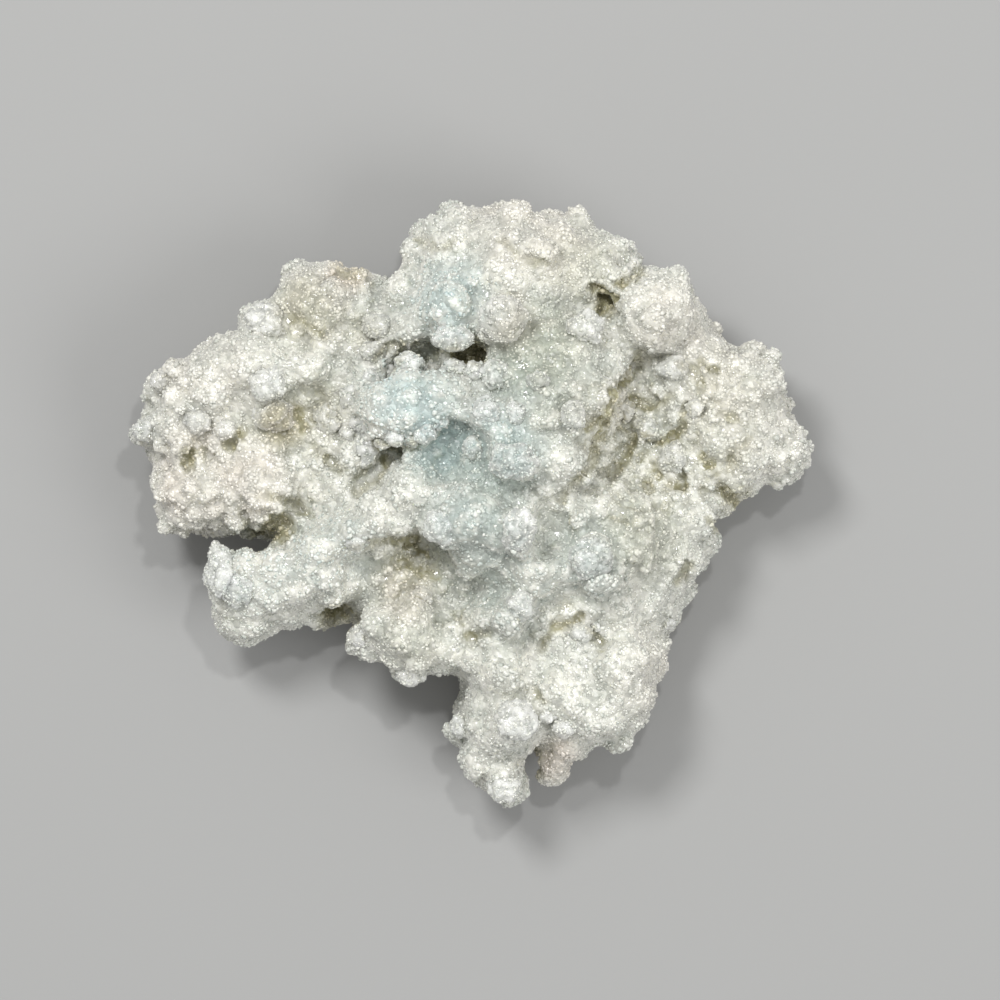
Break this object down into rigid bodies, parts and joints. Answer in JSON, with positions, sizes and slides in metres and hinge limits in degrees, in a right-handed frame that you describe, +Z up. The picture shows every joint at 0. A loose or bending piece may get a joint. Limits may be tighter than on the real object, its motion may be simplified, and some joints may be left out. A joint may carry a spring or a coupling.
{
  "type": "mineral specimen",
  "caption": "Loose knobbly crystal crust, grown together in one arched mass with a finger-like arm, a wing and two lobes at its foot; lies on a flat broken back.",
  "frame": {"origin": "centre of the bounding box in X and Y, at the height of the flat broken back that it lies on", "axes": "+X along its longest extent, from the nose to the wing; +Y from the toe to the crown; +Z up, out of the show face"},
  "size_m": [0.0966, 0.0856, 0.0341],
  "materials": {
    "crystal_crust": "sugary translucent micro-crystals, off-white with pale aqua-blue knobs"
  },
  "bodies": {
    "root": {"aragonite_cluster": "crystal_crust"}
  },
  "joints": []
}
